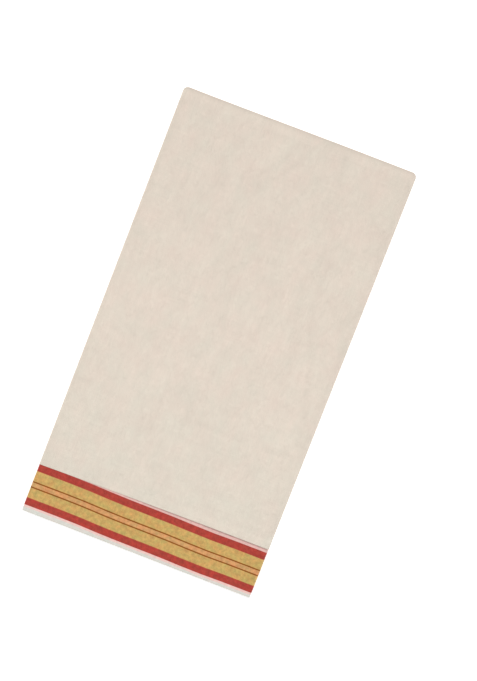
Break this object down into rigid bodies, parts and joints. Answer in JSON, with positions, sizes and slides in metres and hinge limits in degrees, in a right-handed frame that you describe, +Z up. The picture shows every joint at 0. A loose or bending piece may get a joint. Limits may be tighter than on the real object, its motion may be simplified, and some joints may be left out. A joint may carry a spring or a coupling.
{
  "type": "folded cotton sari",
  "caption": "Cotton sari folded into a flat oblong packet, its woven striped border and pale selvedge showing at one end.",
  "frame": {"origin": "centre of the packet's outline, on its flat underside, where it rests on the table", "axes": "+Y along the packet's long side, from the selvedge end to the far fold; +X across it, from the side with several folds to the side of the last, big round fold; +Z up"},
  "size_m": [0.328, 0.6, 0.015],
  "materials": {
    "cotton": "off-white cream plain-weave cotton, matte",
    "border": "woven border: brick red, old gold and peach stripes, with a pale selvedge strip"
  },
  "bodies": {
    "root": {"top_stretch": "cotton", "under_stretch": "cotton", "border_stretch": "border", "under_border_stretch": "border", "hidden_layers": "cotton"}
  },
  "joints": []
}
